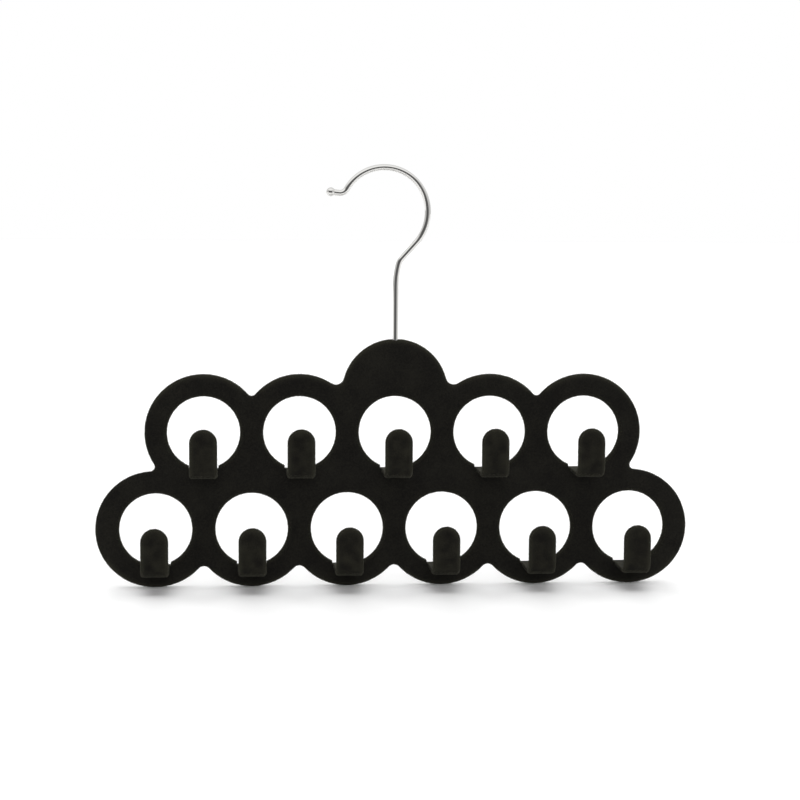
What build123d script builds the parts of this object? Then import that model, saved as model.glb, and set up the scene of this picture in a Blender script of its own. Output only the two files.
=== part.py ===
from build123d import *
from math import cos, radians, sin, tan
import os

# Scarf hanger: a flocked plate with two staggered rows of round loops, a J-shaped tab in front
# of every loop, and a wire hook whose stem turns in a sleeve in the plate's head.
# Millimetres. The plate stands in the XZ plane, the tabs face -Y and +Z is up.
# Pieces are drawn about the plate's middle, at the level of the lower row's loop centres,
# and are set down with the rail's seat in the hook at the origin.

# Plate
loop_pitch = 60.0
row_spacing = 61.0
upper_loops = 5
lower_loops = 6
hole_radius = 22.8
ring_width = 13.9
end_lobe_shift = 0.9
head_radius = 33.3
head_rise = 25.4
plate_thickness = 6.4
rim_flat = 0.4
valley_round = 3.0
foot_valley_round = 4.4
head_valley_round = 5.2

# Tab in front of a loop
tab_width = 16.9
tab_thickness = 2.6
tab_reach = 30.5
tab_height = 30.9
tab_bend_radius = 8.0
notch_gap = 0.9
outer_edge_share = 0.75
inner_edge_share = 0.2

# Wire hook
wire_radius = 1.9
bow_radius = 27.15
heel_radius = 28.6
bow_offset = 7.4
bow_rise = 79.9
neck_radius = 9.0
neck_lead_radius = 58.0
neck_lead_angle = 14.0
neck_slope = 48.1
heel_end_angle = 20.0
bow_end_angle = 150.1
curl_radius = 5.0
tail_rise_angle = 7.0
tail_length = 5.0
ball_radius = 2.8
tenon_radius = 1.2
tenon_length = 2.4

# Swivel in the head
sleeve_wall = 0.45
sleeve_length = 18.0
sleeve_sink = 1.0
running_gap = 0.05
bond_gap = 0.02
collar_height = 3.0
collar_side_gap = 0.08
collar_play = 0.1
bore_end_gap = 1.0

# Overrun of every cut past the face that it opens
overrun = 1.0

# Derived plate sizes
half_plate = plate_thickness / 2
rim_radius = (plate_thickness - rim_flat) / 2
lobe_radius = hole_radius + ring_width
head_centre_z = row_spacing + head_rise
head_top_z = head_centre_z + head_radius
plate_foot_z = -lobe_radius

# Derived tab sizes
shelf_top_z = -hole_radius
shelf_floor_z = shelf_top_z - tab_thickness
tip_z = shelf_floor_z + tab_height
tip_radius = tab_width / 2
tab_front_y = -half_plate - tab_reach
notch_width = tab_width + 2 * notch_gap
root_slot_width = tab_width + 2 * bond_gap

# Derived hook sizes
bow_centre_x = -bow_offset
bow_centre_z = head_top_z + bow_rise
rail_seat = Vector(bow_centre_x, 0, bow_centre_z + bow_radius - wire_radius)
ball_seat = (ball_radius**2 - wire_radius**2) ** 0.5

# Derived swivel sizes
sleeve_bore_radius = wire_radius + running_gap
sleeve_radius = sleeve_bore_radius + sleeve_wall
sleeve_top_z = head_top_z - sleeve_sink
sleeve_foot_z = sleeve_top_z - sleeve_length
collar_top_z = sleeve_foot_z - collar_play
collar_foot_z = collar_top_z - collar_height
head_bore_radius = sleeve_radius + bond_gap
collar_radius = head_bore_radius - collar_side_gap
head_bore_foot_z = collar_foot_z - bore_end_gap


def row_places(count, z):
    """Centres of one row of loops, left to right."""
    start = -loop_pitch * (count - 1) / 2
    return [Vector(start + loop_pitch * i, z) for i in range(count)]


upper_row = row_places(upper_loops, row_spacing)
lower_row = row_places(lower_loops, 0)


def outer_lobes():
    """Centre and radius of the lobes round the plate's top and ends, left end first."""
    end_shift = Vector(end_lobe_shift, 0)
    left = [centre for centre in upper_row if centre.X < -loop_pitch / 2]
    right = [centre for centre in upper_row if centre.X > loop_pitch / 2]
    lobes = [(lower_row[0] - end_shift, lobe_radius)]
    lobes += [(centre, lobe_radius) for centre in left]
    lobes.append((Vector(0, head_centre_z), head_radius))
    lobes += [(centre, lobe_radius) for centre in right]
    lobes.append((lower_row[-1] + end_shift, lobe_radius))
    return lobes


def valley_web(first, second, radius):
    """Patch that fills the valley on the left of the way from one lobe to the next, up to its round."""
    (start, start_radius), (stop, stop_radius) = first, second
    way = stop - start
    along = ((start_radius + radius) ** 2 - (stop_radius + radius) ** 2 + way.length**2) / (2 * way.length)
    across = ((start_radius + radius) ** 2 - along**2) ** 0.5
    unit = way.normalized()
    centre = start + unit * along + Vector(-unit.Y, unit.X) * across
    corners = make_face(Polyline(start, stop, centre, close=True))
    return corners - Pos(centre.X, centre.Y) * Circle(radius)


def plate_outline():
    """Lobes round a straight-sided core, with every valley between two lobes rounded."""
    outer = outer_lobes()
    outline = make_face(Polyline(*[centre for centre, radius in outer], close=True))
    feet = [(centre, lobe_radius) for centre in reversed(lower_row)]
    upper = [(centre, lobe_radius) for centre in upper_row]
    for centre, radius in outer + feet + upper:
        outline += Pos(centre.X, centre.Y) * Circle(radius)
    for end, row_end in ((outer[0], feet[-1]), (outer[-1], feet[0])):
        middle = (end[0] + row_end[0]) / 2
        outline += Pos(middle.X, middle.Y) * Rectangle(end_lobe_shift, 2 * lobe_radius)
    head = (Vector(0, head_centre_z), head_radius)
    for first, second in zip(outer, outer[1:]):
        radius = head_valley_round if head in (first, second) else valley_round
        outline += valley_web(first, second, radius)
    for first, second in zip(feet, feet[1:]):
        outline += valley_web(first, second, foot_valley_round)
    return outline


def loop_plate():
    """Plate with its loops, rounded rims, a notch and a root slot under each loop, and the head's bore."""
    outline = plate_outline()
    for centre in upper_row + lower_row:
        outline -= Pos(centre.X, centre.Y) * Circle(hole_radius)
    plate = extrude(Plane.XZ * outline, half_plate, both=True)
    for side in (0, -1):  # front face, then back face
        face = plate.faces().sort_by(Axis.Y)[side]
        plate = fillet(face.edges(), rim_radius)
    for centre in upper_row + lower_row:
        plate -= Pos(centre.X, 0, centre.Y) * (tab_notch() + root_slot())
    bore_length = head_top_z + overrun - head_bore_foot_z
    bore = extrude(Pos(0, 0, head_bore_foot_z) * Circle(head_bore_radius), bore_length)
    return plate - bore


def tab_notch():
    """Square step at the foot of a loop, which leaves a gap on both sides of the tab."""
    height = hole_radius / 2
    depth = plate_thickness + 2 * overrun
    floor = Pos(0, 0, shelf_top_z)
    return floor * Box(notch_width, depth, height, align=(Align.CENTER, Align.CENTER, Align.MIN))


def root_slot():
    """Slot below the notch, through the plate, that the tab's root fills."""
    height = tab_thickness + overrun
    depth = plate_thickness + 2 * overrun
    floor = Pos(0, 0, shelf_floor_z)
    return floor * Box(root_slot_width, depth, height, align=(Align.CENTER, Align.CENTER, Align.MIN))


def tab_root():
    """Square block that fills the slot, as thick as the plate and the shelf."""
    floor = Pos(0, 0, shelf_floor_z)
    return floor * Box(tab_width, plate_thickness, tab_thickness, align=(Align.CENTER, Align.CENTER, Align.MIN))


def scarf_tab():
    """J-shaped tab: a root, a shelf, a bend and a tongue with a round tip."""
    side_points = [
        (half_plate, shelf_floor_z),
        (tab_front_y, shelf_floor_z),
        (tab_front_y, tip_z),
        (tab_front_y + tab_thickness, tip_z),
        (tab_front_y + tab_thickness, shelf_top_z),
        (half_plate, shelf_top_z),
    ]
    side = make_face(Polyline(*side_points, close=True))
    outer_corner = side.vertices().sort_by_distance(side_points[1])[0]
    side = fillet(outer_corner, tab_bend_radius)
    inner_corner = side.vertices().sort_by_distance(side_points[4])[0]
    side = fillet(inner_corner, tab_bend_radius - tab_thickness)
    blank = extrude(Plane.YZ * side, tab_width / 2, both=True)
    tip_centre_z = tip_z - tip_radius
    below_tip = Rectangle(tab_width, tip_centre_z - shelf_floor_z, align=(Align.CENTER, Align.MAX))
    front = Pos(0, tip_centre_z) * (below_tip + Circle(tip_radius))
    blank &= extrude(Plane.XZ * front, tab_reach + plate_thickness, both=True)
    inner_edges = [edge for edge in long_tab_edges(blank) if depth_in_tab(edge @ 0.5) > tab_thickness / 2]
    blank = fillet(inner_edges, tab_thickness * inner_edge_share)
    outer_edges = [edge for edge in long_tab_edges(blank) if depth_in_tab(edge @ 0.5) < tab_thickness / 2]
    return fillet(outer_edges, tab_thickness * outer_edge_share) + tab_root()


def long_tab_edges(tab):
    """Edges that run along the tab, without those across it and those of its root's end face."""
    return [edge for edge in tab.edges().filter_by(Axis.X, reverse=True) if (edge @ 0.5).Y < 0]


def depth_in_tab(point):
    """Depth of a point below the tab's outer face: the shelf's underside, the bend and the tongue's front."""
    y_past_bend = point.Y - tab_front_y - tab_bend_radius
    z_past_bend = point.Z - shelf_floor_z - tab_bend_radius
    if max(y_past_bend, z_past_bend) < 0:
        return tab_bend_radius - Vector(y_past_bend, z_past_bend).length
    return tab_bend_radius + min(y_past_bend, z_past_bend)


def hook_line():
    """Middle line of the wire: stem, slow and sharp neck bends, slope, heel, bow, curl and tail."""
    turn = 90 - neck_slope
    bow_start = Vector(cos(radians(heel_end_angle)), sin(radians(heel_end_angle)))
    bow_centre = Vector(bow_centre_x, bow_centre_z)
    heel_centre = bow_centre + bow_start * (bow_radius - heel_radius)
    heel_start = heel_centre + Vector(cos(radians(turn)), -sin(radians(turn))) * heel_radius
    lead_x = neck_lead_radius * (1 - cos(radians(neck_lead_angle)))
    lead_z = neck_lead_radius * sin(radians(neck_lead_angle))
    neck_x = neck_radius * (cos(radians(neck_lead_angle)) - cos(radians(turn)))
    neck_z = neck_radius * (sin(radians(turn)) - sin(radians(neck_lead_angle)))
    slope_foot_z = heel_start.Y - (heel_start.X - lead_x - neck_x) * tan(radians(neck_slope))
    stem = Line((0, collar_top_z), (0, slope_foot_z - neck_z - lead_z))
    lead = JernArc(stem @ 1, stem % 1, neck_lead_radius, -neck_lead_angle)
    neck = JernArc(lead @ 1, lead % 1, neck_radius, neck_lead_angle - turn)
    slope = Line(neck @ 1, heel_start)
    heel = JernArc(heel_start, slope % 1, heel_radius, heel_end_angle + turn)
    bow = JernArc(heel @ 1, heel % 1, bow_radius, bow_end_angle - heel_end_angle)
    curl = JernArc(bow @ 1, bow % 1, curl_radius, 90 - bow_end_angle - tail_rise_angle)
    tail = Line(curl @ 1, curl @ 1 + (curl % 1) * (tail_length - ball_seat))
    return Plane.XZ * Wire([stem, lead, neck, slope, heel, bow, curl, tail])


def stem_end():
    """Plane on the stem's lower end, facing down."""
    return Plane((0, 0, collar_top_z), z_dir=(0, 0, -1))


def ball_end():
    """Plane on the end of the wire's tail, facing outward."""
    line = hook_line()
    return Plane(line @ 1, z_dir=line % 1)


def hook_wire():
    """Bent wire with a turned-down tenon at each end, for the collar and for the ball."""
    line = hook_line()
    wire = sweep(Plane(line @ 0, z_dir=line % 0) * Circle(wire_radius), line)
    wire += extrude(stem_end() * Circle(tenon_radius), collar_height)
    return wire + extrude(ball_end() * Circle(tenon_radius), tenon_length)


def hook_tip_ball():
    """Ball pressed on the wire's tip: cut flat where it meets the wire's shoulder, with a socket."""
    ball = Pos(0, 0, ball_seat) * Sphere(ball_radius)
    before_seat = extrude(Circle(ball_radius), -ball_radius)
    socket = extrude(Circle(tenon_radius + bond_gap), tenon_length + bond_gap)
    return ball_end() * (ball - before_seat - socket)


def hook_end_collar():
    """Collar riveted on the stem's lower end, which keeps the stem in the sleeve."""
    ring = Circle(collar_radius) - Circle(tenon_radius + bond_gap)
    return extrude(stem_end() * ring, collar_height)


def neck_sleeve():
    """Thin tube bonded in the head's bore, in which the stem turns."""
    ring = Circle(sleeve_radius) - Circle(sleeve_bore_radius)
    return extrude(Pos(0, 0, sleeve_foot_z) * ring, sleeve_length)


def tab_nodes(row_name, row):
    """One tab for each loop of a row, numbered from the left."""
    tab = scarf_tab()
    return {
        f"scarf_tab_{row_name}_{number}": Pos(centre.X, 0, centre.Y) * tab
        for number, centre in enumerate(row, start=1)
    }


def hanger_nodes():
    """Every piece under its node's name."""
    return {
        "loop_plate": loop_plate(),
        **tab_nodes("upper", upper_row),
        **tab_nodes("lower", lower_row),
        "neck_sleeve": neck_sleeve(),
        "hook_wire": hook_wire(),
        "hook_tip_ball": hook_tip_ball(),
        "hook_end_collar": hook_end_collar(),
    }


os.makedirs("parts", exist_ok=True)
for name, piece in hanger_nodes().items():
    export_step(Pos(-rail_seat) * piece, f"parts/{name}.step")
    print(name, "volume", round(piece.volume, 1))
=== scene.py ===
from math import cos, pi, radians, sin, tan

import bmesh
import bpy
import numpy as np
from mathutils import Euler, Matrix, Vector


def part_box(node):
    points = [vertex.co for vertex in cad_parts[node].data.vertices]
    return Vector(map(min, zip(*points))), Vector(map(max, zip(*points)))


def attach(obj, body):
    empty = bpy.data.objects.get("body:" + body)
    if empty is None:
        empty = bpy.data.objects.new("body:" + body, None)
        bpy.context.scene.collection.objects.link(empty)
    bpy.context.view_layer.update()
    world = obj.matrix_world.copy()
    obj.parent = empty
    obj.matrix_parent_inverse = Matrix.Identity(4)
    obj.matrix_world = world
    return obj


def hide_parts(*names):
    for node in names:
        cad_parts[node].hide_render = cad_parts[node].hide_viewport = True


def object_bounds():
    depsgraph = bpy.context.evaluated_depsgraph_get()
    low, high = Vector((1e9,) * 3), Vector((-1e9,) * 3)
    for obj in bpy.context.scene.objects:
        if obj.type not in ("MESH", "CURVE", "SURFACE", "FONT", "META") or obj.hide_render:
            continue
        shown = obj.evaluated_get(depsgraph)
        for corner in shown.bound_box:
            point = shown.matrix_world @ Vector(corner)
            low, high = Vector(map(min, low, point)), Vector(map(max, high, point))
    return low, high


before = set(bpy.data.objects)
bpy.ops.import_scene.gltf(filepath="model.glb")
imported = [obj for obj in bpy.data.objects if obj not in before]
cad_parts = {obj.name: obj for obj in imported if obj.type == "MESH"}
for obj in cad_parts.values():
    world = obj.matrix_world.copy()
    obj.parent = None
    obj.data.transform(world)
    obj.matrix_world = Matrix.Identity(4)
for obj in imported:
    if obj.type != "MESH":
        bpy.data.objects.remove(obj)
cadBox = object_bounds()
mm = 0.001  # one millimetre in metres
smoothDeg = 40  # edges sharper than this stay crisp
print("frame loaded:", len(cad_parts), "nodes")


# small tools

def linearColour(hexText):
    # sRGB hex to the linear values that the shader wants
    shares = [int(hexText[i:i + 2], 16) / 255 for i in (1, 3, 5)]
    return [s / 12.92 if s <= 0.04045 else ((s + 0.055) / 1.055) ** 2.4 for s in shares] + [1.0]


def addNode(tree, kind, settings=None, links=None, values=None):
    # a node with its settings, its plain input values, and links into its inputs
    node = tree.nodes.new(kind)
    for name, value in (settings or {}).items():
        setattr(node, name, value)
    for name, value in (values or {}).items():
        node.inputs[name].default_value = value
    for name, source in (links or {}).items():
        tree.links.new(source, node.inputs[name])
    return node


def newMaterial(name):
    material = bpy.data.materials.new(name)
    material.use_nodes = True
    material.node_tree.nodes.clear()
    return material, material.node_tree


def deselectAll():
    if bpy.context.object and bpy.context.object.mode != "OBJECT":
        bpy.ops.object.mode_set(mode="OBJECT")
    bpy.ops.object.select_all(action="DESELECT")


def applyPlace(piece):
    # the finished piece's place goes into its mesh
    deselectAll()
    piece.select_set(True)
    bpy.context.view_layer.objects.active = piece
    bpy.ops.object.transform_apply(location=True, rotation=True, scale=True)


def selectFaces(piece, wanted):
    # in edit mode: selects the faces that the test names. Known fault: unselecting their neighbours takes most of
    # the shared edges away again, and how many stay chosen differs a little between runs
    shape = bmesh.from_edit_mesh(piece.data)
    bpy.ops.mesh.select_all(action="DESELECT")
    for face in shape.faces:
        face.select = wanted(face)
    shape.select_flush_mode()
    bmesh.update_edit_mesh(piece.data)


# materials

flock = {
    "deep": "#11100f",  # pile seen end-on
    "pale": "#1e1d19",  # pile that leans to the light
    "sheen": "#b8b7a5",
    "sheenWeight": 0.26,
    "grainMm": 0.7,  # tufts of pile, drawn a few fibres wide so that they show
    "strokeMm": 14.0,  # patches where the pile was brushed one way
    "strokeShare": 0.25,
    "rim": "#2b2a23",  # painted sheen: a lighter colour along every rim, standing in for the pile's sheen where light grazes it
    "paintedLightMm": 4.4,  # the painted sheen fades out over this width
    "paintedLightFade": 2.2,
    "toneFrom": 0.395,  # noise levels at which the tone is fully deep and fully pale
    "toneTo": 0.635,
    "napHeightMm": 0.15,
    "napStrength": 0.5,
    "grainDetail": (3.0, 0.6),  # finer layers of the noise, and how much each one keeps
    "strokeDetail": (1.5, 0.5),
    "roughness": 0.95,
    "specular": 0.12,
    "sheenRoughness": 0.35,
}

loops = {
    "pitch": 60.0,
    "rowSpacing": 61.0,
    "holeRadius": 22.8,
    "lobeRadius": 36.7,
    "headRadius": 33.3,
    "holeSheenShare": 0.2,  # the painted sheen along the loops' rims is narrower than along the outline, by this share of its width
    "valleyBlend": 22.0,  # in the valleys, where the outline is rounded inwards, the distances are blended so that the painted sheen stays weak
    "coreHalfWide": 135.0,  # between the loops the plate runs through, with no rim near
    "coreBeyond": 28.0,  # how far that reaches below the lower loops' middles and above the upper ones'
}
plateLow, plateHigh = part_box("loop_plate")
plateMiddle = (plateLow.x + plateHigh.x) / 2


def plateInside(tree, place):
    # how far inside the plate's outline and its loops' rims a point lies, from the circles it is drawn with; the
    # painted sheen along the rims follows it
    parts = addNode(tree, "ShaderNodeSeparateXYZ", links={"Vector": place.outputs["Object"]})
    across = addNode(tree, "ShaderNodeMath", {"operation": "SUBTRACT"}, values={1: plateMiddle},
                     links={0: parts.outputs["X"]})
    # both rows repeat by one pitch and stand half a pitch apart, so one fold of X serves every loop
    upperAside = addNode(tree, "ShaderNodeMath", {"operation": "PINGPONG"}, values={1: loops["pitch"] / 2 * mm},
                         links={0: across.outputs["Value"]})
    lowerAside = addNode(tree, "ShaderNodeMath", {"operation": "SUBTRACT"}, values={0: loops["pitch"] / 2 * mm},
                         links={1: upperAside.outputs["Value"]})
    lowerZ = plateLow.z + loops["lobeRadius"] * mm
    fromCentre = []
    for aside, centreZ in ((lowerAside, lowerZ), (upperAside, lowerZ + loops["rowSpacing"] * mm),
                           (across, plateHigh.z - loops["headRadius"] * mm)):
        rise = addNode(tree, "ShaderNodeMath", {"operation": "SUBTRACT"}, values={1: centreZ},
                       links={0: parts.outputs["Z"]})
        both = addNode(tree, "ShaderNodeCombineXYZ",
                       links={"X": aside.outputs["Value"], "Y": rise.outputs["Value"]})
        fromCentre.append(addNode(tree, "ShaderNodeVectorMath", {"operation": "LENGTH"},
                                  links={0: both.outputs["Vector"]}))
    nearest = addNode(tree, "ShaderNodeMath", {"operation": "SMOOTH_MIN"},
                      values={2: loops["valleyBlend"] * mm},
                      links={0: fromCentre[0].outputs["Value"], 1: fromCentre[1].outputs["Value"]})
    inLobe = addNode(tree, "ShaderNodeMath", {"operation": "SUBTRACT"}, values={0: loops["lobeRadius"] * mm},
                     links={1: nearest.outputs["Value"]})
    inHead = addNode(tree, "ShaderNodeMath", {"operation": "SUBTRACT"}, values={0: loops["headRadius"] * mm},
                     links={1: fromCentre[2].outputs["Value"]})
    inRounds = addNode(tree, "ShaderNodeMath", {"operation": "SMOOTH_MAX"},
                       values={2: loops["valleyBlend"] * mm},
                       links={0: inLobe.outputs["Value"], 1: inHead.outputs["Value"]})
    sideways = addNode(tree, "ShaderNodeMath", {"operation": "ABSOLUTE"}, links={0: across.outputs["Value"]})
    coreWide = addNode(tree, "ShaderNodeMath", {"operation": "SUBTRACT"}, values={0: loops["coreHalfWide"] * mm},
                       links={1: sideways.outputs["Value"]})
    fromRows = addNode(tree, "ShaderNodeMath", {"operation": "SUBTRACT"},
                       values={1: lowerZ + loops["rowSpacing"] / 2 * mm}, links={0: parts.outputs["Z"]})
    upDown = addNode(tree, "ShaderNodeMath", {"operation": "ABSOLUTE"}, links={0: fromRows.outputs["Value"]})
    coreHigh = addNode(tree, "ShaderNodeMath", {"operation": "SUBTRACT"},
                       values={0: (loops["rowSpacing"] / 2 + loops["coreBeyond"]) * mm},
                       links={1: upDown.outputs["Value"]})
    inCore = addNode(tree, "ShaderNodeMath", {"operation": "MINIMUM"},
                     links={0: coreWide.outputs["Value"], 1: coreHigh.outputs["Value"]})
    inOutline = addNode(tree, "ShaderNodeMath", {"operation": "MAXIMUM"},
                        links={0: inRounds.outputs["Value"], 1: inCore.outputs["Value"]})
    fromHole = addNode(tree, "ShaderNodeMath", {"operation": "SUBTRACT"},
                       values={1: (loops["holeRadius"] - loops["holeSheenShare"] * flock["paintedLightMm"]) * mm},
                       links={0: nearest.outputs["Value"]})
    return addNode(tree, "ShaderNodeMath", {"operation": "MINIMUM"},
                   links={0: inOutline.outputs["Value"], 1: fromHole.outputs["Value"]}).outputs["Value"]


def tabInside(tree, place):
    # the same for the tabs: half a pitch apart in both rows taken together, straight sides and a round tip; it
    # lays the tabs' painted sheen
    low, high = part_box("scarf_tab_upper_1")
    halfWide = (high.x - low.x) / 2
    parts = addNode(tree, "ShaderNodeSeparateXYZ", links={"Vector": place.outputs["Object"]})
    across = addNode(tree, "ShaderNodeMath", {"operation": "SUBTRACT"}, values={1: plateMiddle},
                     links={0: parts.outputs["X"]})
    aside = addNode(tree, "ShaderNodeMath", {"operation": "PINGPONG"}, values={1: loops["pitch"] / 4 * mm},
                    links={0: across.outputs["Value"]})
    down = addNode(tree, "ShaderNodeMath", {"operation": "SUBTRACT"}, values={0: high.z},
                   links={1: parts.outputs["Z"]})
    below = addNode(tree, "ShaderNodeMath", {"operation": "FLOORED_MODULO"}, values={1: loops["rowSpacing"] * mm},
                    links={0: down.outputs["Value"]})
    short = addNode(tree, "ShaderNodeMath", {"operation": "SUBTRACT"}, values={0: halfWide},
                    links={1: below.outputs["Value"]})
    inTip = addNode(tree, "ShaderNodeMath", {"operation": "MAXIMUM"}, values={1: 0.0},
                    links={0: short.outputs["Value"]})
    both = addNode(tree, "ShaderNodeCombineXYZ",
                   links={"X": aside.outputs["Value"], "Y": inTip.outputs["Value"]})
    far = addNode(tree, "ShaderNodeVectorMath", {"operation": "LENGTH"}, links={0: both.outputs["Vector"]})
    return addNode(tree, "ShaderNodeMath", {"operation": "SUBTRACT"}, values={0: halfWide},
                   links={1: far.outputs["Value"]}).outputs["Value"]


def flockMaterial(name, look, inside=None):
    # Nylon velvet flock on moulded ABS: short upright fibres swallow light head-on. Where inside is given, a rim
    # colour is painted
    # in by that distance: painted sheen along the plate's and tabs' edges, painted shade on the tabs' fibres
    # behind the front
    material, tree = newMaterial(name)
    place = addNode(tree, "ShaderNodeTexCoord")
    grain, stroke = (
        addNode(tree, "ShaderNodeTexNoise",
                values={"Scale": 1 / (look[size] * mm), "Detail": look[detail][0], "Roughness": look[detail][1]},
                links={"Vector": place.outputs["Object"]})
        for size, detail in (("grainMm", "grainDetail"), ("strokeMm", "strokeDetail")))
    both = addNode(tree, "ShaderNodeMix", {"data_type": "FLOAT"},
                   values={"Factor": look["strokeShare"]},
                   links={"A": grain.outputs["Fac"], "B": stroke.outputs["Fac"]})
    tone = addNode(tree, "ShaderNodeValToRGB", links={"Fac": both.outputs["Result"]})
    tone.color_ramp.elements[0].position = look["toneFrom"]
    tone.color_ramp.elements[0].color = linearColour(look["deep"])
    tone.color_ramp.elements[1].position = look["toneTo"]
    tone.color_ramp.elements[1].color = linearColour(look["pale"])
    colour = tone.outputs["Color"]
    # the rim colour mixed in by the inside distance: painted sheen along edges, painted shade on the tabs' fibres
    # behind the front
    if inside:
        near = addNode(tree, "ShaderNodeMapRange",
                       values={"From Max": look["paintedLightMm"] * mm, "To Min": 1.0, "To Max": 0.0},
                       links={"Value": inside(tree, place)})
        fade = addNode(tree, "ShaderNodeMath", {"operation": "POWER"}, values={1: look["paintedLightFade"]},
                       links={0: near.outputs["Result"]})
        rim = addNode(tree, "ShaderNodeMix", {"data_type": "RGBA"}, values={7: linearColour(look["rim"])},
                      links={"Factor": fade.outputs["Value"], 6: colour})  # inputs 6 and 7 are the two colours
        colour = rim.outputs[2]
    bump = addNode(tree, "ShaderNodeBump",
                   values={"Strength": look["napStrength"], "Distance": look["napHeightMm"] * mm},
                   links={"Height": grain.outputs["Fac"]})
    surface = addNode(tree, "ShaderNodeBsdfPrincipled",
                      values={"Roughness": look["roughness"], "Specular IOR Level": look["specular"],
                              "Sheen Weight": look["sheenWeight"], "Sheen Roughness": look["sheenRoughness"],
                              "Sheen Tint": linearColour(look["sheen"])},
                      links={"Base Color": colour, "Normal": bump.outputs["Normal"]})
    addNode(tree, "ShaderNodeOutputMaterial", links={"Surface": surface.outputs["BSDF"]})
    return material


chrome = {
    "colour": "#ebeae7",
    "polished": 0.05,  # roughness where the plate is clean, and where it has been handled
    "handled": 0.09,
    "handlingMm": 4.0,  # size of the patches
    "handlingDetail": 2.0,
}


def chromeMaterial(look):
    # Bright nickel-chrome plate on drawn steel wire: mirrors the white studio, with a dark core
    # where it faces the unlit side
    material, tree = newMaterial("bright chrome plate")
    place = addNode(tree, "ShaderNodeTexCoord")
    handling = addNode(tree, "ShaderNodeTexNoise",
                       values={"Scale": 1 / (look["handlingMm"] * mm), "Detail": look["handlingDetail"]},
                       links={"Vector": place.outputs["Object"]})
    rough = addNode(tree, "ShaderNodeMapRange", values={"To Min": look["polished"], "To Max": look["handled"]},
                    links={"Value": handling.outputs["Fac"]})
    surface = addNode(tree, "ShaderNodeBsdfPrincipled",
                      values={"Metallic": 1.0, "Base Color": linearColour(look["colour"])},
                      links={"Roughness": rough.outputs["Result"]})
    addNode(tree, "ShaderNodeOutputMaterial", links={"Surface": surface.outputs["BSDF"]})
    return material


steel = {
    "colour": "#9b9a97",
    "lineMm": 0.25,  # feed of the tool
    "smooth": 0.28,  # roughness on the crest of a ring and in its groove
    "scored": 0.45,
    "chatter": 1.5,  # how unevenly the rings run
}
waveTurn = 0.314  # the wave texture draws one band per metre at this scale


def steelMaterial(look):
    # Plain drawn and turned steel: grey, with fine rings from the tool
    material, tree = newMaterial("turned steel")
    place = addNode(tree, "ShaderNodeTexCoord")
    rings = addNode(tree, "ShaderNodeTexWave", {"bands_direction": "Z"},
                    values={"Scale": waveTurn / (look["lineMm"] * mm), "Distortion": look["chatter"]},
                    links={"Vector": place.outputs["Object"]})
    rough = addNode(tree, "ShaderNodeMapRange", values={"To Min": look["smooth"], "To Max": look["scored"]},
                    links={"Value": rings.outputs["Fac"]})
    surface = addNode(tree, "ShaderNodeBsdfPrincipled",
                      values={"Metallic": 1.0, "Base Color": linearColour(look["colour"])},
                      links={"Roughness": rough.outputs["Result"]})
    addNode(tree, "ShaderNodeOutputMaterial", links={"Surface": surface.outputs["BSDF"]})
    return material


def dress(piece, material):
    piece.data.materials.clear()
    piece.data.materials.append(material)


# hook: drawn wire bent in a bow, with a ball on its tip

hook = {
    "wireSides": 48,
    "wireRadius": 1.9,
    "bowRadius": 27.15,
    "heelRadius": 28.6,
    "bowOffset": 7.4,
    "leadRadius": 58.0,  # slow bend at the stem's top, then the sharp one
    "leadTurn": 14.0,
    "neckRadius": 9.0,
    "neckSlope": 48.1,
    "heelEnd": 20.0,
    "bowEnd": 150.1,
    "curlRadius": 5.0,
    "tailRise": 7.0,
    "tailLength": 5.0,
    "ballRadius": 2.8,
    "ballSides": 64,
    "ballRings": 32,
    "seatRound": 0.25,  # rounding on the ball's cut edge, beside the end of the wire
    "seatSteps": 3,
    "seatFacing": 0.99,  # the cut face looks back along the wire at least this squarely
    "stepDeg": 3.0,
    "fewestSteps": 3,
    "stemShares": (0.25, 0.5, 0.25),  # the stem is drawn in these runs
    "mergeMm": 0.01,
}


def spinArc(centre, degrees):
    # the open end of the wire is carried round a bend; a turn to the left seen from the front is positive
    steps = max(hook["fewestSteps"], round(abs(degrees) / hook["stepDeg"]))
    bpy.ops.mesh.spin(steps=steps, angle=radians(degrees), center=centre, axis=(0, 1, 0), dupli=False,
                      use_auto_merge=False, use_normal_flip=False)


def heading(degrees):
    # way along the front view, counted from +X towards +Z
    return Vector((cos(radians(degrees)), 0, sin(radians(degrees))))


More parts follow.
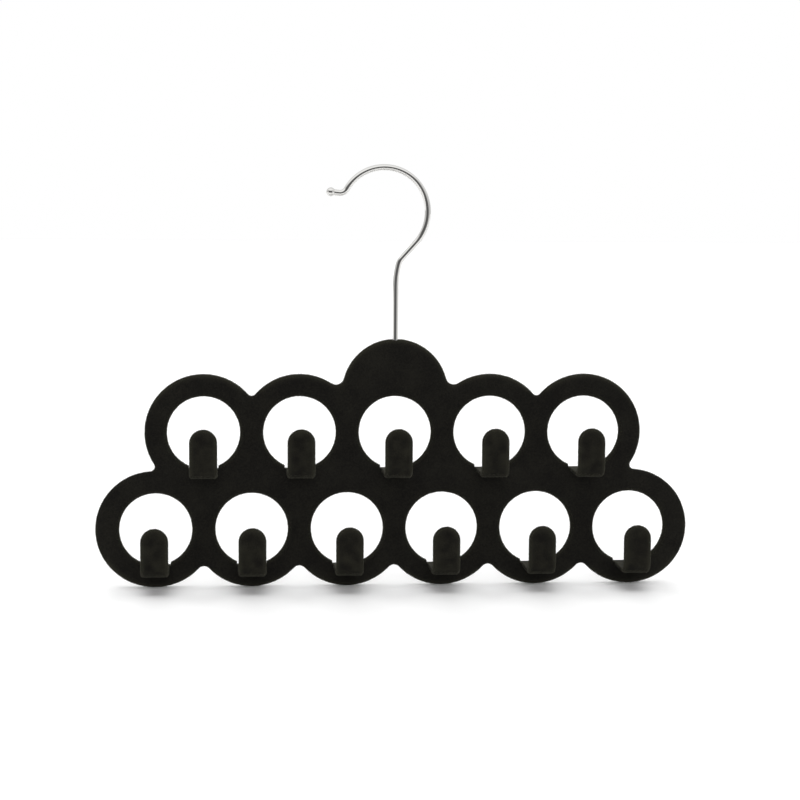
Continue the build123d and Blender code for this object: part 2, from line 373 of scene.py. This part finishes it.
def bentWire():
    wireRadius, bowRadius, heelRadius = (hook[name] * mm for name in ("wireRadius", "bowRadius", "heelRadius"))
    bowCentre = Vector((0, 0, -(bowRadius - wireRadius)))
    heelCentre = bowCentre + heading(hook["heelEnd"]) * (bowRadius - heelRadius)
    turn = 90 - hook["neckSlope"]
    heelStart = heelCentre + heading(-turn) * heelRadius
    stemX = hook["bowOffset"] * mm
    neckRadius, leadRadius, leadTurn = hook["neckRadius"] * mm, hook["leadRadius"] * mm, hook["leadTurn"]
    leadStep = Vector((leadRadius, 0, 0)) - heading(-leadTurn) * leadRadius
    leadStep.z = leadRadius * sin(radians(leadTurn))
    neckStep = (heading(-leadTurn) - heading(-turn)) * neckRadius
    slopeFootX = stemX + leadStep.x + neckStep.x
    slopeFootZ = heelStart.z - (heelStart.x - slopeFootX) * tan(radians(hook["neckSlope"]))
    neckEnd = Vector((slopeFootX, 0, slopeFootZ))
    leadEnd = neckEnd - neckStep
    stemTop = leadEnd - leadStep
    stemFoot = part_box("hook_end_collar")[1].z
    deselectAll()
    bpy.ops.mesh.primitive_circle_add(vertices=hook["wireSides"], radius=wireRadius, fill_type="NGON",
                                      location=(stemX, 0, stemFoot))
    wire = bpy.context.object
    wire.name = "bentHookWire"
    applyPlace(wire)
    bpy.ops.object.mode_set(mode="EDIT")
    bpy.ops.mesh.select_all(action="SELECT")
    for share in hook["stemShares"]:
        bpy.ops.mesh.extrude_region_move(TRANSFORM_OT_translate={"value": (0, 0, (stemTop.z - stemFoot) * share)})
    spinArc(stemTop + Vector((leadRadius, 0, 0)), -leadTurn)
    spinArc(leadEnd + heading(-leadTurn) * neckRadius, leadTurn - turn)
    bpy.ops.mesh.extrude_region_move(TRANSFORM_OT_translate={"value": heelStart - neckEnd})  # slope
    spinArc(heelCentre, turn + hook["heelEnd"])  # heel
    spinArc(bowCentre, hook["bowEnd"] - hook["heelEnd"])  # bow
    curlRadius = hook["curlRadius"] * mm
    curlCentre = bowCentre + heading(hook["bowEnd"]) * (bowRadius + curlRadius)
    curlTurn = 90 - hook["bowEnd"] - hook["tailRise"]
    spinArc(curlCentre, curlTurn)  # curl, the other way round
    tailWay = heading(180 - hook["tailRise"])
    tailStart = curlCentre - heading(hook["bowEnd"] + curlTurn) * curlRadius
    ballSeat = (hook["ballRadius"] ** 2 - hook["wireRadius"] ** 2) ** 0.5 * mm
    tailRun = hook["tailLength"] * mm - ballSeat
    bpy.ops.mesh.extrude_region_move(TRANSFORM_OT_translate={"value": tailWay * tailRun})
    bpy.ops.mesh.select_all(action="SELECT")
    bpy.ops.mesh.remove_doubles(threshold=hook["mergeMm"] * mm)
    bpy.ops.mesh.normals_make_consistent(inside=False)
    bpy.ops.object.mode_set(mode="OBJECT")
    bpy.ops.object.shade_smooth_by_angle(angle=radians(smoothDeg))
    ballCentre = tailStart + tailWay * hook["tailLength"] * mm
    return wire, ballCentre, tailWay, ballSeat


def tipBall(centre, way, seat):
    # ball cut flat at the ring of its sides nearest to the end of the wire. Only a short run of the cut edge gets
    # rounded, because of the fault noted at selectFaces
    deselectAll()
    bpy.ops.mesh.primitive_uv_sphere_add(segments=hook["ballSides"], ring_count=hook["ballRings"],
                                         radius=hook["ballRadius"] * mm, location=centre,
                                         rotation=way.to_track_quat("Z", "Y").to_euler())
    ball = bpy.context.object
    ball.name = "hookTipBall"
    applyPlace(ball)
    bpy.ops.object.mode_set(mode="EDIT")
    bpy.ops.mesh.select_all(action="SELECT")
    bpy.ops.mesh.bisect(plane_co=centre - way * seat, plane_no=way, clear_inner=True, use_fill=True)
    selectFaces(ball, lambda face: face.normal.dot(way) < -hook["seatFacing"] and len(face.verts) > 4)
    bpy.ops.mesh.bevel(offset=hook["seatRound"] * mm, segments=hook["seatSteps"], affect="EDGES")
    bpy.ops.mesh.select_all(action="SELECT")
    bpy.ops.mesh.normals_make_consistent(inside=False)
    bpy.ops.object.mode_set(mode="OBJECT")
    bpy.ops.object.shade_smooth_by_angle(angle=radians(smoothDeg))
    return ball


hookWire, ballCentre, tailWay, ballSeat = bentWire()
hookBall = tipBall(ballCentre, tailWay, ballSeat)
for piece, nodeName in ((hookWire, "hook_wire"), (hookBall, "hook_tip_ball")):
    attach(piece, "hook")
    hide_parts(nodeName)
print("hook bent:", len(hookWire.data.polygons), "faces in the wire")

# pile: the flock's fibres where they show one by one, along rims and edges

pile = {
    "fibreMm": 0.6,
    "rootMm": 0.12,  # drawn a few fibres wide, so that they show
    "sunkMm": 0.05,
    "lean": 0.45,
    "shortest": 0.6,  # share of the full length
    "perSquareMmTab": 9.0,
    "perSquareMmRim": 3.5,
    "plateThirdMm": 62.5,  # the plate's pile is cut in three pieces, this far either side of the stem
    "rimFacing": 0.93,  # the plate's face turns into its rim here
    "clearOfTabMm": 0.1,
    "slotMm": 3.0,  # height of the slot under a tab
    "boreMm": 3.6,  # radius round the stem that stays bare, and how far down
    "boreDeepMm": 8.0,
    "rootGapMm": 0.2,
    "flatFacing": 0.97,  # a face turned this squarely is flat, and its fibres don't show one by one
    "bendFacing": 0.75,  # the same for the bend, seen from the front
    "shelfFromMm": 9.0,  # behind the tab's front by this much its fibres get a painted shade colour
    "shade": "#0b0b0a",
    "shadeFadeMm": 1.0,
    "deep": "#282720",  # painted highlight: single fibres get a lighter colour than the closed pile, standing in for the side light they catch
    "pale": "#46453c",
    "piecesOnPlate": 3,
    "seed": 7,
}


def edgeTriangles(node, wanted):
    # corners, normals and areas of the node's triangles that the test picks
    mesh = node.data
    places = np.empty(len(mesh.vertices) * 3, np.float32)
    mesh.vertices.foreach_get("co", places)
    order = np.empty(len(mesh.loops), np.int32)
    mesh.loops.foreach_get("vertex_index", order)
    corners = places.reshape(-1, 3)[order].reshape(-1, 3, 3).astype(float)
    across = np.cross(corners[:, 1] - corners[:, 0], corners[:, 2] - corners[:, 0])
    double = np.linalg.norm(across, axis=1)
    normals = across / np.maximum(double, 1e-15)[:, None]
    picked = wanted(corners.mean(axis=1), normals) & (double > 0)
    return corners[picked], normals[picked], double[picked] / 2


def growPile(name, corners, normals, areas, perSquareMm, seed):
    # slim closed spikes on those triangles: flocking makes thousands of loose fibres, too many to model by hand
    chance = np.random.default_rng(seed)
    count = int(areas.sum() / mm ** 2 * perSquareMm)
    pick = chance.choice(len(areas), size=count, p=areas / areas.sum())
    u, v = chance.random(count), chance.random(count)
    flip = u + v > 1
    u, v = np.where(flip, 1 - u, u)[:, None], np.where(flip, 1 - v, v)[:, None]
    root = corners[pick, 0] * (1 - u - v) + corners[pick, 1] * u + corners[pick, 2] * v
    out = normals[pick]
    lean = chance.normal(size=(count, 3)) * pile["lean"]
    way = out + lean - out * (lean * out).sum(axis=1, keepdims=True)
    way /= np.linalg.norm(way, axis=1, keepdims=True)
    length = chance.uniform(pile["shortest"], 1, count)[:, None] * pile["fibreMm"] * mm
    side = np.cross(way, chance.normal(size=(count, 3)))
    side /= np.linalg.norm(side, axis=1, keepdims=True)
    other = np.cross(way, side)
    foot = root - out * pile["sunkMm"] * mm
    points = np.empty((count, 4, 3))
    for i in range(3):
        points[:, i] = foot + (side * cos(2 * pi * i / 3) + other * sin(2 * pi * i / 3)) * pile["rootMm"] * mm / 2
    points[:, 3] = root + way * length
    faces = np.array(((0, 1, 3), (1, 2, 3), (2, 0, 3), (0, 2, 1)))
    faces = (faces[None] + np.arange(count)[:, None, None] * 4).reshape(-1)
    mesh = bpy.data.meshes.new(name)
    mesh.vertices.add(count * 4)
    mesh.vertices.foreach_set("co", points.reshape(-1))
    mesh.loops.add(len(faces))
    mesh.loops.foreach_set("vertex_index", faces)
    mesh.polygons.add(count * 4)
    mesh.polygons.foreach_set("loop_start", np.arange(0, len(faces), 3))
    mesh.update(calc_edges=True)
    piece = bpy.data.objects.new(name, mesh)
    bpy.context.scene.collection.objects.link(piece)
    return piece


def ontoHanger(piece, material):
    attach(piece, "hanger")
    dress(piece, material)


def beforeShelf(tree, place):
    # how far a point of a tab lies in front of its shelf; behind that its fibres get the painted shade
    parts = addNode(tree, "ShaderNodeSeparateXYZ", links={"Vector": place.outputs["Object"]})
    return addNode(tree, "ShaderNodeMath", {"operation": "SUBTRACT"},
                   values={0: tabBoxes[0][0].y + pile["shelfFromMm"] * mm},
                   links={1: parts.outputs["Y"]}).outputs["Value"]


def tabEdge(centres, normals):
    # rounded edges, the tip and the bend's underside, but not the root in the plate
    low = centres[:, 2] < tabMiddle
    flatFront = np.abs(normals[:, 1]) > np.where(low, pile["bendFacing"], pile["flatFacing"])
    flatShelf = (np.abs(normals[:, 2]) > pile["flatFacing"]) & low
    return (centres[:, 1] < plateLow.y - pile["rootGapMm"] * mm) & ~flatFront & ~flatShelf


def plateRim(centres, normals):
    # rims of the outline and of the loops, but not the slots under the tabs or the bore round the stem
    rim = np.abs(normals[:, 1]) < pile["rimFacing"]
    fromStem = np.hypot(centres[:, 0] - hook["bowOffset"] * mm, centres[:, 1])
    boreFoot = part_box("neck_sleeve")[0].z - pile["boreDeepMm"] * mm
    rim &= ~((fromStem < pile["boreMm"] * mm) & (centres[:, 2] > boreFoot))
    clear = pile["clearOfTabMm"] * mm
    for low, high in tabBoxes:
        inside = (centres[:, 0] > low.x - clear) & (centres[:, 0] < high.x + clear)
        inside &= (centres[:, 2] > low.z - clear) & (centres[:, 2] < low.z + pile["slotMm"] * mm)
        rim &= ~inside
    return rim


tabNames = sorted(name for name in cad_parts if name.startswith("scarf_tab"))
tabBoxes = [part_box(name) for name in tabNames]
tabMiddle = (tabBoxes[0][0].z + tabBoxes[0][1].z) / 2
# painted highlight: the single fibres' lighter colours
fibreHighlightLook = {**flock, "deep": pile["deep"], "pale": pile["pale"]}
# painted shade: the tabs' fibres behind the front are coloured dark, as the tab's own shade
shelfShadeLook = {**fibreHighlightLook, "rim": pile["shade"], "paintedLightMm": pile["shadeFadeMm"], "paintedLightFade": 1.0}
pileFlock = flockMaterial("velvet flock, single fibres", fibreHighlightLook)
tabPileFlock = flockMaterial("velvet flock, single fibres on the tabs", shelfShadeLook, beforeShelf)
nameStart = len("scarf_tab_")
firstPile = growPile("tabPile_" + tabNames[0][nameStart:], *edgeTriangles(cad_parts[tabNames[0]], tabEdge),
                     pile["perSquareMmTab"], pile["seed"])
for tabName, tabBox in zip(tabNames[1:], tabBoxes[1:]):
    copied = bpy.data.objects.new("tabPile_" + tabName[nameStart:], firstPile.data.copy())
    bpy.context.scene.collection.objects.link(copied)
    copied.data.transform(Matrix.Translation(tabBox[0] - tabBoxes[0][0]))
    ontoHanger(copied, tabPileFlock)
ontoHanger(firstPile, tabPileFlock)
rimCorners, rimNormals, rimAreas = edgeTriangles(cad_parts["loop_plate"], plateRim)
cuts = (np.array([-pile["plateThirdMm"], pile["plateThirdMm"]]) + hook["bowOffset"]) * mm
third = np.searchsorted(cuts, rimCorners[:, 0, 0])
for i in range(pile["piecesOnPlate"]):
    part = third == i
    rimPile = growPile(f"rimPile_{i + 1}", rimCorners[part], rimNormals[part], rimAreas[part],
                       pile["perSquareMmRim"], pile["seed"] + i + 1)
    ontoHanger(rimPile, pileFlock)
print("pile grown:", len(firstPile.data.polygons), "faces on a tab")

plateFlock = flockMaterial("velvet flock on the plate", flock, plateInside)
tabLook = {  # scarves rub the tabs, so their pile is brushed in smaller patches and shines less
    "deep": "#12110f",
    "pale": "#22211b",
    # painted sheen: lighter colour along the tabs' edges, fading out over paintedLightMm
    "rim": "#2d2c25",
    "sheenWeight": 0.12,
    "paintedLightMm": 4.2,
    "strokeShare": 0.5,
    "strokeMm": 7.0,
}
tabFlock = flockMaterial("velvet flock on the tabs", {**flock, **tabLook}, tabInside)
chromePlate = chromeMaterial(chrome)
turnedSteel = steelMaterial(steel)
for nodeName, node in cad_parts.items():
    if nodeName == "loop_plate":
        dress(node, plateFlock)
    elif nodeName.startswith("scarf_tab"):
        dress(node, tabFlock)
    elif nodeName in ("neck_sleeve", "hook_end_collar"):
        dress(node, turnedSteel)
    else:
        dress(node, chromePlate)
for piece in (hookWire, hookBall):
    dress(piece, chromePlate)
print("materials made")


# stage: floor, light and camera

floor = {
    "sideMm": 9000,
    "frontMm": 620,  # the board ends this far in front of the object
    "whiteness": 1.1,
    "mirrored": 0.85,  # the board as the metal mirrors it
    "lit": 0.8,  # and as it throws light back on the object
}


def floorMaterial():
    # matt white board, shown at full white where nothing shades it
    material, tree = newMaterial("matt white board")
    ray = addNode(tree, "ShaderNodeLightPath")
    lit = addNode(tree, "ShaderNodeBsdfDiffuse", values={"Color": (floor["lit"],) * 3 + (1,)})
    seen = addNode(tree, "ShaderNodeBsdfDiffuse", values={"Color": (floor["whiteness"],) * 3 + (1,)})
    mirrored = addNode(tree, "ShaderNodeBsdfDiffuse", values={"Color": (floor["mirrored"],) * 3 + (1,)})
    unseen = addNode(tree, "ShaderNodeMixShader",
                     links={0: ray.outputs["Is Glossy Ray"], 1: lit.outputs["BSDF"], 2: mirrored.outputs["BSDF"]})
    board = addNode(tree, "ShaderNodeMixShader",
                    links={0: ray.outputs["Is Camera Ray"], 1: unseen.outputs["Shader"], 2: seen.outputs["BSDF"]})
    addNode(tree, "ShaderNodeOutputMaterial", links={"Surface": board.outputs["Shader"]})
    return material


def makeFloor():
    deselectAll()
    middle = (floor["sideMm"] / 2 - floor["frontMm"]) * mm
    bpy.ops.mesh.primitive_plane_add(size=floor["sideMm"] * mm, location=(0, middle, cadBox[0].z))
    board = bpy.context.object
    board.name = "floorBoard"
    applyPlace(board)
    dress(board, floorMaterial())


studio = {
    "fill": 0.36,  # level of the white surroundings on matt surfaces
    "glow": 1.05,  # the same surroundings as metal mirrors them
    "farGlow": 0.66,  # straight behind the object, mirrored in the metal's outline
    "farFrom": -0.6,  # where it starts to fall off towards that, as a share of a unit step backwards
    "sideShare": 0.6,  # what the greyer left and right of the studio keep of it
    "sideFrom": 0.86,  # where those begin, as a share of a unit step sideways
    "darkGlow": 0.11,  # unlit front of the studio, mirrored in the wire's core
    "darkTurnDeg": 15.0,  # which way that front lies, counted from straight ahead
    "darkHalfWide": 0.82,  # half width and half height of it, as shares of a unit step
    "darkHalfHigh": 0.48,
    "darkRise": 0.03,
    "darkEdge": 0.35,  # share of the way in from its rim over which it fades
    "lampsAtMm": 800,  # height at which they are drawn; their light comes from far off
    "softboxes": {  # share of a white floor's light, then degrees of height, way round from the front, and width
        "overheadDiffuser": (0.50, 84, 180, 72),
        "frontSoftbox": (0.11, 15, 0, 30),
        "backdropGlow": (0.16, 16, 180, 40),
    },
}


def makeStudio():
    world = bpy.data.worlds.new("white studio")
    bpy.context.scene.world = world
    world.use_nodes = True
    tree = world.node_tree
    tree.nodes.clear()
    ray = addNode(tree, "ShaderNodeLightPath")
    place = addNode(tree, "ShaderNodeTexCoord")
    turned = addNode(tree, "ShaderNodeMapping", {"vector_type": "POINT"},
                     values={"Rotation": (0, 0, radians(studio["darkTurnDeg"]))},
                     links={"Vector": place.outputs["Generated"]})
    parts = addNode(tree, "ShaderNodeSeparateXYZ", links={"Vector": turned.outputs["Vector"]})
    aside = addNode(tree, "ShaderNodeMath", {"operation": "ABSOLUTE"}, links={0: parts.outputs["X"]})
    wide = addNode(tree, "ShaderNodeMath", {"operation": "DIVIDE"}, values={1: studio["darkHalfWide"]},
                   links={0: aside.outputs["Value"]})
    risen = addNode(tree, "ShaderNodeMath", {"operation": "SUBTRACT"}, values={1: studio["darkRise"]},
                    links={0: parts.outputs["Z"]})
    above = addNode(tree, "ShaderNodeMath", {"operation": "ABSOLUTE"}, links={0: risen.outputs["Value"]})
    high = addNode(tree, "ShaderNodeMath", {"operation": "DIVIDE"}, values={1: studio["darkHalfHigh"]},
                   links={0: above.outputs["Value"]})
    far = addNode(tree, "ShaderNodeMath", {"operation": "MAXIMUM"},
                  links={0: wide.outputs["Value"], 1: high.outputs["Value"]})
    front = addNode(tree, "ShaderNodeMath", {"operation": "LESS_THAN"}, values={1: 0.0},
                    links={0: parts.outputs["Y"]})
    patch = addNode(tree, "ShaderNodeMapRange", {"interpolation_type": "SMOOTHSTEP"},
                    values={"From Min": 1 - studio["darkEdge"], "From Max": 1 + studio["darkEdge"],
                            "To Max": 0.0},
                    links={"Value": far.outputs["Value"], "To Min": front.outputs["Value"]})
    behind = addNode(tree, "ShaderNodeMapRange",
                     values={"From Min": studio["farFrom"], "To Min": studio["glow"], "To Max": studio["farGlow"]},
                     links={"Value": parts.outputs["Y"]})
    sides = addNode(tree, "ShaderNodeMapRange", {"interpolation_type": "SMOOTHSTEP"},
                    values={"From Min": studio["sideFrom"], "To Min": 1.0, "To Max": studio["sideShare"]},
                    links={"Value": aside.outputs["Value"]})
    around = addNode(tree, "ShaderNodeMath", {"operation": "MULTIPLY"},
                     links={0: behind.outputs["Result"], 1: sides.outputs["Result"]})
    glossy = addNode(tree, "ShaderNodeMix", {"data_type": "FLOAT"}, values={"B": studio["darkGlow"]},
                     links={"Factor": patch.outputs["Result"], "A": around.outputs["Value"]})
    plain = addNode(tree, "ShaderNodeMix", {"data_type": "FLOAT"}, values={"A": studio["fill"]},
                    links={"Factor": ray.outputs["Is Glossy Ray"], "B": glossy.outputs["Result"]})
    level = addNode(tree, "ShaderNodeMix", {"data_type": "FLOAT"}, values={"B": 1.0},
                    links={"Factor": ray.outputs["Is Camera Ray"], "A": plain.outputs["Result"]})
    glow = addNode(tree, "ShaderNodeBackground", values={"Color": (1, 1, 1, 1)},
                   links={"Strength": level.outputs["Result"]})
    addNode(tree, "ShaderNodeOutputWorld", links={"Surface": glow.outputs["Background"]})
    for name, (share, heightDeg, roundDeg, spreadDeg) in studio["softboxes"].items():
        bpy.ops.object.light_add(type="SUN", location=(0, 0, studio["lampsAtMm"] * mm),
                                 rotation=(radians(90 - heightDeg), 0, radians(roundDeg)))
        softbox = bpy.context.object
        softbox.name = name
        softbox.data.energy = share * pi / sin(radians(heightDeg))
        softbox.data.angle = radians(spreadDeg)
        softbox.visible_glossy = False  # metal mirrors the surroundings alone


camera = {
    "placeMm": (-100.27, -1244.74, -12.57),
    "turnDeg": -5.090,
    "downDeg": 5.989,
    "rollDeg": 0.406,
    "lensMm": 89.77,
    "sensorMm": 36,
    "nearMm": 10,
}


def makeCamera():
    bpy.ops.object.camera_add(location=Vector(camera["placeMm"]) * mm)
    eye = bpy.context.object
    level = Euler((radians(90 - camera["downDeg"]), 0, radians(camera["turnDeg"]))).to_matrix()
    eye.rotation_euler = (level @ Matrix.Rotation(radians(camera["rollDeg"]), 3, "Z")).to_euler()
    eye.data.lens = camera["lensMm"]
    eye.data.sensor_width = camera["sensorMm"]
    eye.data.clip_start = camera["nearMm"] * mm
    bpy.context.scene.camera = eye


makeFloor()
makeStudio()
makeCamera()
print("stage set")

bpy.context.scene.view_settings.view_transform = "Standard"
